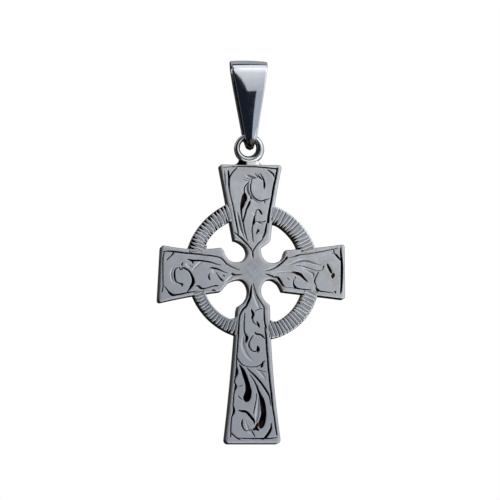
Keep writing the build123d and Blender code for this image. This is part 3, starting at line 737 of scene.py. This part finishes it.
def mixed(tree, share, first, second, kind="RGBA"):
    # two colours, or with "FLOAT" two plain values, mixed by a share
    return addNode(tree, "ShaderNodeMix", {"Factor": share, "A": first, "B": second},
                   data_type=kind).outputs["Result"]


def ranged(tree, value, low=0.0, high=1.0, toLow=0.0, toHigh=1.0, **settings):
    # a value carried from one range to another and held within it
    return addNode(tree, "ShaderNodeMapRange", {"Value": value, "From Min": low, "From Max": high, "To Min": toLow,
                                                "To Max": toHigh}, **settings).outputs["Result"]


def noise(tree, place, grain, detail=4.0, roughness=0.5):
    # noise with a grain of this many millimetres, on coordinates in metres
    return addNode(tree, "ShaderNodeTexNoise", {"Vector": place, "Scale": 1 / (grain * mm), "Detail": detail,
                                                "Roughness": roughness}).outputs["Fac"]


def drawnOut(tree, place, turn, stretch):
    # coordinates turned about Y and then pressed along Z, so that a noise becomes long streaks
    turned = addNode(tree, "ShaderNodeMapping", {"Vector": place, "Rotation": (0, math.radians(turn), 0)})
    return addNode(tree, "ShaderNodeVectorMath", {0: turned.outputs["Vector"], 1: (1, 1, 1 / stretch)},
                   operation="MULTIPLY").outputs["Vector"]


# Colours, roughnesses, and the grain of each pattern and where it fades, in millimetres
# painted shade: the grey laid on towards the lower left, with its direction and range
silver = dict(bright="#F6F7F9", warm="#E4E4E0", rubbed="#BCBDBF", lowerLeftShade="#D2D4D7", black="#0C0C10",
              brown="#7A5248", wallShadeOlive="#8C8668", flatRoughness=0.56, cutRoughness=0.2, wallRoughness=0.5,
              scratch=0.13, scratchHeight=0.02, scratchTurns=(38, -47), scratchStretch=25, polish=0.06,
              polishHeight=0.004, polishStretch=20, cloud=1.6, smudge=1.4, centreFrom=1.265, centreTo=2.3,
              lowerLeftShadeTowards=(-0.3, 0.0, -0.5), lowerLeftShadeFrom=-3, lowerLeftShadeTo=6)


def engravedSilver(name, flatRoughness, hatched):
    # sterling silver, rubbed flat and then cut with a graver: a satin face with fine scratches,
    # bright facets in the cuts, blackened in their depth, and dull sawn walls painted dark olive as shade; painted
    # shade also lies on some scoops, the very edge and the lower left
    material, tree, place = newMaterial(name)
    cut, wall = (addNode(tree, "ShaderNodeAttribute", attribute_name=key).outputs["Fac"]
                 for key in ("tarnishAndPaintedShade", "wall"))
    cloud = noise(tree, place, silver["cloud"], roughness=0.6)
    # scratches: noise drawn out along two crossed directions, coarser than real ones so that it shows
    lines = [noise(tree, drawnOut(tree, place, turn, silver["scratchStretch"]), silver["scratch"], 3.0, 0.7)
             for turn in silver["scratchTurns"]]
    scratches = mixed(tree, 0.5, *lines, "FLOAT")
    # the rubbed centre, where the file's hatching still shows
    centred = addNode(tree, "ShaderNodeMapping",
                      {"Vector": place, "Location": (0, 0, -crossing * mm)}).outputs["Vector"]
    away = addNode(tree, "ShaderNodeVectorMath", {0: centred}, operation="LENGTH").outputs["Value"]
    centre = ranged(tree, away, silver["centreFrom"] * mm, silver["centreTo"] * mm, 1.0, 0.0,
                    interpolation_type="SMOOTHSTEP")
    stain = ranged(tree, mixed(tree, centre, cloud, scratches, "FLOAT"), 0.35, 0.65)
    satin = mixed(tree, stain, silver["bright"], mixed(tree, centre, silver["warm"], silver["rubbed"]))
    # painted shade: the lower and the left arm are a little darker, as the light falls off towards them
    towards = addNode(tree, "ShaderNodeVectorMath", {0: centred, 1: silver["lowerLeftShadeTowards"]},
                      operation="DOT_PRODUCT").outputs["Value"]
    lowerLeftShade = ranged(tree, towards, silver["lowerLeftShadeFrom"] * mm, silver["lowerLeftShadeTo"] * mm)
    satin = mixed(tree, lowerLeftShade, satin, silver["lowerLeftShade"])
    black = mixed(tree, ranged(tree, cloud, 0.5, 0.75), silver["black"], silver["brown"])
    # painted shade: the walls take the dark olive of sides that face away from the light
    colour = mixed(tree, wall, mixed(tree, cut, satin, black), silver["wallShadeOlive"])
    rubbed = ranged(tree, scratches, 0.3, 0.7, flatRoughness - 0.05, flatRoughness + 0.06)
    facet = mixed(tree, cut, rubbed, silver["cutRoughness"], "FLOAT")
    rough = mixed(tree, wall, facet, silver["wallRoughness"], "FLOAT")
    coverMetal(tree, colour, rough, scratches, ranged(tree, centre, toLow=0.25, toHigh=hatched),
               silver["scratchHeight"])
    return material


def polishedSilver(name, roughness, smudge, tone, paintedShade):
    # sterling silver buffed to a mirror: clear reflections with faint polishing lines and smudges,
    # and painted shade: a dark colour on one side of a given place, where shade falls next to another part
    axis, start, soft, dark = paintedShade
    material, tree, place = newMaterial(name)
    lines = noise(tree, drawnOut(tree, place, 0, silver["polishStretch"]), silver["polish"], 3.0)
    patches = noise(tree, place, silver["smudge"])
    along = addNode(tree, "ShaderNodeSeparateXYZ", {"Vector": place}).outputs[axis]
    # painted shade: past the start along the axis the colour turns dark
    shadeShare = ranged(tree, along, (start - soft) * mm, (start + soft) * mm, 1.0, 0.0)
    colour = mixed(tree, shadeShare, mixed(tree, patches, silver["bright"], tone), dark)
    rough = ranged(tree, patches, 0.35, 0.7, roughness, roughness + smudge)     # rougher where it is smudged
    coverMetal(tree, colour, rough, lines, 0.15, silver["polishHeight"])
    return material


# the last item of each polished piece is painted shade: the wire darkened below the plate's top edge, the solder's
# left side black, and the bail's eye darkened below the pin
for piece, material in (
        (cross, engravedSilver("handEngravedSterlingSilver", silver["flatRoughness"], 0.9)),
        (nimbusPiece, engravedSilver("notchedSterlingSilver", 0.32, 0.25)),
        (ringPiece, polishedSilver("drawnSilverWire", 0.16, 0.08, "#C9C8C0", ("Z", topEdge - 0.3, 0.2, "#2A2A26"))),
        (footPiece, polishedSilver("silverSolder", 0.2, 0.12, "#C9C7C0", ("X", -0.45, 0.1, "#0C0C10"))),
        (bailPiece, polishedSilver("mirrorPolishedSterlingSilver", 0.05, 0.05, "#D9DADC",
                                   ("Z", pinHeight - 0.16, 0.1, "#4A4840")))):
    piece.data.materials.append(material)
print("materials made")

# The studio: a pale floor far below, a soft front light up on the right and dark on the left. The
# floor is in millimetres and the camera's and the lights' distances are in metres.
studio = dict(floorBelow=160, floorHalf=800, distance=0.5, azimuth=-8.5, elevation=-6.0, lens=282.4,
              roll=-0.45, aim=(-0.08, 0.0, 2.86), around="#18202A", seen="#FFFFFF")


def floorPaper():
    # matt paper: no gloss, and a faint fibre
    material, tree, place = newMaterial("mattPaper")
    coverWith(tree, {"Base Color": mixed(tree, noise(tree, place, 1.5), "#F1F1EF", "#FAFAF8"), "Roughness": 0.9})
    return material


corners = np.array([(-1, -1, 0), (1, -1, 0), (1, 1, 0), (-1, 1, 0)]) * studio["floorHalf"]
floor = linkMesh("floor", corners, [np.array([[0, 1, 2, 3]])], -studio["floorBelow"])
floor.data.materials.append(floorPaper())
floor.visible_glossy = False        # the silver mirrors the dark room, not the floor

centre = Vector((0, 0, crossing * mm))


def facing(point, azimuth, elevation, distance):
    # a place this far from a point, turned to face it: azimuth 0 is in front and 90 on the right
    a, e = math.radians(azimuth), math.radians(elevation)
    towards = Vector((math.sin(a) * math.cos(e), -math.cos(a) * math.cos(e), math.sin(e)))
    return Matrix.Translation(point + towards * distance) @ towards.to_track_quat("Z", "Y").to_matrix().to_4x4()


def softbox(name, left, right, low, high, distance, strength, colour, lowShare=1.0):
    # an area light that faces the crossing and spans these azimuths and elevations, in degrees;
    # it fades to a share at its lower edge
    azimuth, elevation = (left + right) / 2, (low + high) / 2
    width = 2 * distance * math.tan(math.radians((right - left) / 2)) * max(math.cos(math.radians(elevation)), 0.5)
    height = 2 * distance * math.tan(math.radians((high - low) / 2))
    light = bpy.data.lights.new(name, "AREA")
    light.shape = "RECTANGLE"
    light.size, light.size_y = width, height
    light.color = linear(colour)[:3]
    light.energy = strength * width * height * math.pi      # watts for this radiance
    light.use_nodes = True
    tree = light.node_tree
    place = addNode(tree, "ShaderNodeNewGeometry").outputs["Parametric"]
    up = addNode(tree, "ShaderNodeSeparateXYZ", {"Vector": place}).outputs["Y"]
    tree.links.new(ranged(tree, up, toLow=lowShare), tree.nodes["Emission"].inputs["Strength"])
    lamp = bpy.data.objects.new(name, light)
    lamp.matrix_world = facing(centre, azimuth, elevation, distance)
    lamp.visible_camera = False
    scene.collection.objects.link(lamp)


softbox("upperBox", -2, 58, 9, 58.5, 0.9, 1.2, "#F2F5FD", lowShare=0.42)
softbox("lowerBox", 14.8, 34, -34, 9.2, 0.9, 0.52, "#E8F0FF")
softbox("sideBox", 34, 105, -34, 50, 0.9, 0.92, "#F0F4FF")
softbox("lowFrontBox", -20, 60, -66, -13, 0.8, 1.2, "#F4F5F8")
softbox("roofBox", 6, 66, 57.5, 77, 0.8, 1.05, "#F2F4FC")
softbox("backBox", -60, 100, 84, 165, 1.0, 0.42, "#E6EDF4")
softbox("tableGlow", -140, -60, -45, 20, 1.0, 0.1, "#E8DCBC")

# the camera sees a white room and the silver mirrors a dark one
world = bpy.data.worlds.new("studioRoom")
world.use_nodes = True
tree = world.node_tree
tree.nodes.clear()
seen = addNode(tree, "ShaderNodeLightPath").outputs["Is Camera Ray"]
room = addNode(tree, "ShaderNodeBackground", {"Color": mixed(tree, seen, studio["around"], studio["seen"])})
addNode(tree, "ShaderNodeOutputWorld", {"Surface": room.outputs["Background"]})
scene.world = world
scene.view_settings.view_transform = "Standard"

camera = bpy.data.objects.new("camera", bpy.data.cameras.new("camera"))
camera.data.lens = studio["lens"]
camera.matrix_world = (facing(centre + Vector(studio["aim"]) * mm, studio["azimuth"], studio["elevation"],
                              studio["distance"]) @ Matrix.Rotation(math.radians(studio["roll"]), 4, "Z"))
scene.collection.objects.link(camera)
scene.camera = camera
print("studio set")
